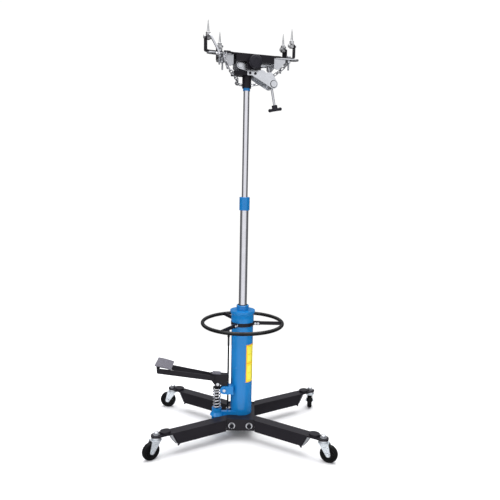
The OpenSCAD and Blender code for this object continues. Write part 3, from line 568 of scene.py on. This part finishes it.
def thread(bm, r, z0, z1, matrix, pitch=1.25, sides=32):
    """A threaded rod as a stack of ridges."""
    profile = [(0, z0), (r - 0.9, z0)]
    z = z0 + 0.5
    while z + pitch < z1 - 0.3:
        profile += [(r - 0.55, z), (r, z + pitch * 0.45), (r, z + pitch * 0.55)]
        z += pitch
    profile += [(r - 0.9, z1), (0, z1)]
    lathe(bm, profile, sides, matrix)


def axis_frame(origin, direction):
    """Local Z along a direction, at a point in metres."""
    q = Vector(direction).to_track_quat("Z", "Y")
    return Matrix.Translation(Vector(origin)) @ q.to_matrix().to_4x4()


# ---- fingers -----------------------------------------------------------------------------------

def arm_matrix(corner):
    u, v = PIVOT[corner]
    turn = Matrix.Rotation(math.radians(ARM_DIR[corner]), 4, "Z")
    return HEAD @ Matrix.Translation((u / 1000, v / 1000, 0)) @ turn


def finger(corner):
    m = arm_matrix(corner)
    body = "finger_" + corner
    bolt, wall = BOLT[corner], BOLT[corner] + REACH[corner]
    foot = ARM_TOP + 0.3
    rim = foot + 55
    # bent bracket
    bm = bmesh.new()
    bend = 6.0
    path = [(bolt - 10, foot + 2.5), (bolt + 4, foot + 2.5)]
    for k in range(7):
        a = math.radians(-90 + 15 * k)
        path.append((wall + 2.5 - bend + bend * math.cos(a), foot + 2.5 + bend + bend * math.sin(a)))
    path += [(wall + 2.5, rim - 12), (wall + 2.5, rim + 2)]
    ribbon(bm, path, 14, 5, m)
    bracket = piece("bracket_" + corner, mesh_of(bm, "bracket"), black, body, False, 0.9)
    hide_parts("finger_" + corner)
    # clamp bolt with washers and nuts
    bm = bmesh.new()
    at_bolt = m @ Matrix.Translation((bolt / 1000, 0, 0))
    thread(bm, 4, ARM_TOP - 45, ARM_TOP + 12.3, at_bolt)
    lathe(bm, [(0, foot + 5), (9.5, foot + 5), (9.5, foot + 6.4), (0, foot + 6.4)], 32, at_bolt)
    low, high = ARM_TOP - 8.3, ARM_TOP - 5.3
    lathe(bm, [(0, low), (9.8, low), (9.8, high), (0, high)], 32, at_bolt)
    prism(bm, hexagon(15), foot + 6.4, foot + 12, at_bolt)
    prism(bm, hexagon(15), ARM_TOP - 15.3, ARM_TOP - 8.3, at_bolt)
    piece("clamp_" + corner, mesh_of(bm, "clamp"), zinc, body, False, 0.4)
    # eye block with its cross bolt, collar and pointed pin
    bm = bmesh.new()
    block = m @ Matrix.Translation(((wall - 8) / 1000, 0, 0))
    outline = [(-8, -9), (8, -9), (8, 9), (-8, 9)]
    prism(bm, outline, rim - 10, rim + 14, block)
    piece("eye_" + corner, mesh_of(bm, "eye"), galvanised, body, False, 2.2)
    bm = bmesh.new()
    profile = [(0, 14), (9, 14), (9.5, 15), (9.5, 18), (8.6, 19), (6.2, 19), (5.6, 21), (4.4, 33), (3.0, 48),
               (1.9, 59), (1.1, 66), (0, 67)]
    lathe(bm, [(r, rim + z) for r, z in profile], 32, block)
    cross = axis_frame(m @ Vector(((wall - 24) / 1000, 0, rim / 1000)), m.to_3x3() @ Vector((1, 0, 0)))
    thread(bm, 4, 0, 36, cross)
    prism(bm, hexagon(13), 29, 34.5, cross)
    prism(bm, hexagon(13), 1.5, 7, cross)
    wing = (m @ Matrix.Translation(((wall - 8) / 1000, 0, (rim + 8) / 1000))
            @ Matrix.Rotation(math.pi / 2, 4, "X"))
    profile = [(0, -15), (5.2, -15), (6, -14), (6, -10), (3.5, -9), (3.5, 9), (6, 10), (6, 14), (5.2, 15),
               (0, 15)]
    lathe(bm, profile, 28, wing)
    piece("pin_" + corner, mesh_of(bm, "pin"), galvanised, body, True, 0.3)


for corner in CORNERS:
    finger(corner)

# hook bar on the front left finger
m = arm_matrix("front_left")
wall = BOLT["front_left"] + REACH["front_left"]
start = Vector((wall - 8, 24, ARM_TOP + 61))
stop = Vector((BOLT["front_left"] + 8, 27, ARM_TOP - 8))
bm = bmesh.new()
points = [Vector((wall + x, y, ARM_TOP + z)) for x, y, z in ((-8, 4, 61), (-8, 16, 61), (-9, 22, 59))]
points += [start.lerp(stop, t) for t in (0.1, 0.3, 0.5, 0.7, 0.86)]
points += [stop + Vector(p) for p in ((2, 0, -3), (8, 0, -6), (14, 0, -3), (15, 0, 4))]
rod(bm, [m @ (p / 1000) for p in points], 4.6, 14)
piece("hook_bar", mesh_of(bm, "hook_bar"), zinc_bright, "finger_front_left", True)


# ---- chain -------------------------------------------------------------------------------------

ROUTE = [
    (-112, -60, 1647), (-113, -60, 1622), (-100, -58, 1592), (-74, -46, 1565), (-50, -24, 1549),
    (-44, 6, 1543), (-27, 38, 1542), (10, 50, 1542), (60, 50, 1549), (100, 49, 1565),
    (134, 42, 1588), (164, 22, 1614), (180, 3, 1632), (182, 0, 1645.8),
]


def smooth_route(points, n):
    out = []
    pts = [Vector(p) for p in points]
    for i in range(len(pts) - 1):
        a, b, c, d = pts[max(i - 1, 0)], pts[i], pts[i + 1], pts[min(i + 2, len(pts) - 1)]
        for k in range(n):
            t = k / n
            out.append(0.5 * (2 * b + (c - a) * t + (2 * a - 5 * b + 4 * c - d) * t * t
                              + (3 * b - a - 3 * c + d) * t ** 3))
    out.append(pts[-1])
    return out


def walk(points, step, start):
    """Points at equal steps along a polyline, with tangents."""
    out = []
    want = start
    gone = 0.0
    for a, b in zip(points, points[1:]):
        length = (b - a).length
        while want <= gone + length:
            t = (want - gone) / length
            out.append((a.lerp(b, t), (b - a).normalized()))
            want += step
        gone += length
    return out


def link_ring(length, width, n=10):
    """A stadium in local X and Y, in mm."""
    r = width / 2
    s = length / 2 - r
    ring = []
    for k in range(n + 1):
        a = -math.pi / 2 + math.pi * k / n
        ring.append(Vector((s + r * math.cos(a), r * math.sin(a), 0)))
    for k in range(n + 1):
        a = math.pi / 2 + math.pi * k / n
        ring.append(Vector((-s + r * math.cos(a), r * math.sin(a), 0)))
    return ring


bm = bmesh.new()
route = smooth_route(ROUTE, 12)
pitch = 19.0
for i, (p, t) in enumerate(walk(route, pitch, 9.0)):
    side = t.cross(Vector((0, 0, 1))).normalized()
    up = side.cross(t).normalized()
    twist = math.radians(38 if i % 2 == 0 else -52)
    y = math.cos(twist) * side + math.sin(twist) * up
    ring = [HEAD @ ((p + t * q.x + y * q.y) / 1000) for q in link_ring(24.5, 10.5)]
    rod(bm, ring, 2.1, 10, True)
chain = piece("chain_links", mesh_of(bm, "chain_links"), zinc_bright, "saddle", True)
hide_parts("chain")


# ---- leg end caps ------------------------------------------------------------------------------

STEM_X, STEM_Y, CAP_Y = 343, 251, 19.4
bm = bmesh.new()
for sx, sy in ((-1, -1), (1, -1), (-1, 1), (1, 1)):
    at_stem = (Matrix.Translation((sx * STEM_X / 1000, sy * STEM_Y / 1000, 0))
               @ Matrix.Rotation(math.atan2(sy * 172, sx * 281), 4, "Z")
               @ Matrix.Rotation(math.pi / 2, 4, "X"))
    # side view in local X and Z: a tray that stands out of the leg's slanting end
    prism(bm, [(-52.6, 93.9), (-64, 93.9), (-86, 50), (-78.6, 50.4)], -CAP_Y, CAP_Y, at_stem)
piece("end_caps", mesh_of(bm, "end_caps"), zinc, "stand", False, 1.2)


# ---- clips on the trunnion and the pivots -------------------------------------------------------

def clip_pair(name, body, u, z, v, inner, outer):
    bm = bmesh.new()
    for side in (-1, 1):
        at_pin = (HEAD @ Matrix.Translation((u / 1000, side * v / 1000, z / 1000))
                  @ Matrix.Rotation(-side * math.pi / 2, 4, "X"))
        ring = [(inner, 0.0), (outer, 0.0), (outer, 1.1), (inner, 1.1), (inner, 0.0)]
        lathe(bm, ring, 40, at_pin)
    piece(name, mesh_of(bm, name), dark_steel, body, False)


clip_pair("trunnion_clips", "head", 109.5, 1542.7, 31.2, 13.1, 15.2)
clip_pair("swivel_clips", "swivel", 93, 1626, 24.1, 5.1, 7.4)


# ---- pump spring -------------------------------------------------------------------------------

low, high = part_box("pump_spring")
centre = (low + high) / 2
turns, coil, wire = 7.0, 16.4, 2.4
bm = bmesh.new()
steps = int(turns * 36)
path = []
for i in range(steps + 1):
    f = i / steps
    if f < 0.1:
        ease = f * 0.55
    elif f > 0.9:
        ease = 1 - (1 - f) * 0.55
    else:
        ease = 0.055 + (f - 0.1) * 0.89 / 0.8
    z = low.z + wire / 1000 + ease * (high.z - low.z - 2 * wire / 1000)
    a = 2 * math.pi * turns * f
    path.append(Vector((centre.x + coil / 1000 * math.cos(a), centre.y + coil / 1000 * math.sin(a), z)))
rod(bm, path, wire, 12)
spring = piece("return_spring", mesh_of(bm, "return_spring"), zinc_bright, "stand", True)
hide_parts("pump_spring")
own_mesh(spring)


# ---- floor -------------------------------------------------------------------------------------

bm = bmesh.new()
bmesh.ops.create_circle(bm, cap_ends=True, segments=96, radius=1.25)
floor = bpy.data.objects.new("floor", mesh_of(bm, "floor"))
scene.collection.objects.link(floor)
ground = Mat("pale_floor", (0.90, 0.90, 0.905), 0.8)
floor_stops = [(0.3, (0.895, 0.895, 0.90)), (0.7, (0.915, 0.915, 0.92))]
ground.to(ground.ramp(ground.noise(3.0), floor_stops), "Base Color")
ground.bsdf.inputs["Specular IOR Level"].default_value = 0.1
floor.data.materials.append(ground.mat)
floor.visible_glossy = False
